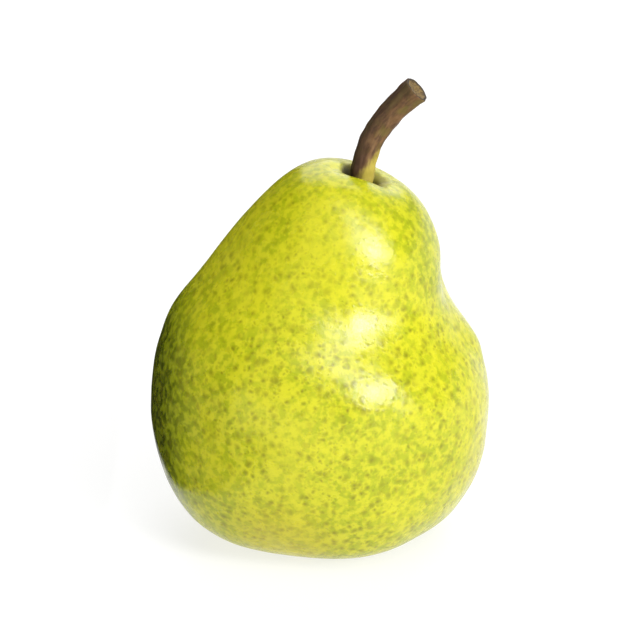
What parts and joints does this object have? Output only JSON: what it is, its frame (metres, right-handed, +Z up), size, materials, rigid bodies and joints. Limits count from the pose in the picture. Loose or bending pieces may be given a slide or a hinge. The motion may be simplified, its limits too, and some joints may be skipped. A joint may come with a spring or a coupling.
{
  "type": "pear",
  "caption": "Whole fresh green pear with a leaning neck and a curved woody stem, standing upright on its flattened calyx end.",
  "frame": {"origin": "on the surface that the pear stands on, under the middle of its outline", "axes": "+Z up along the pear's height, +X toward the side that the neck and the stem lean to, -Y toward the front"},
  "size_m": [0.07, 0.068, 0.0969],
  "materials": {
    "pear_skin": "waxy yellow-green skin with a soft shine and fine green dots",
    "stem_bark": "matt brown bark with fine lengthwise wrinkles",
    "dried_calyx": "dry brown tissue",
    "dried_sepal": "dry, curled, leathery brown",
    "dried_stamens": "dry dark brown threads"
  },
  "bodies": {
    "root": {"fruit": "pear_skin", "stem": "stem_bark", "calyx": "dried_calyx", "sepal_1": "dried_sepal", "sepal_2": "dried_sepal", "sepal_3": "dried_sepal", "sepal_4": "dried_sepal", "sepal_5": "dried_sepal", "stamens": "dried_stamens"}
  },
  "joints": []
}
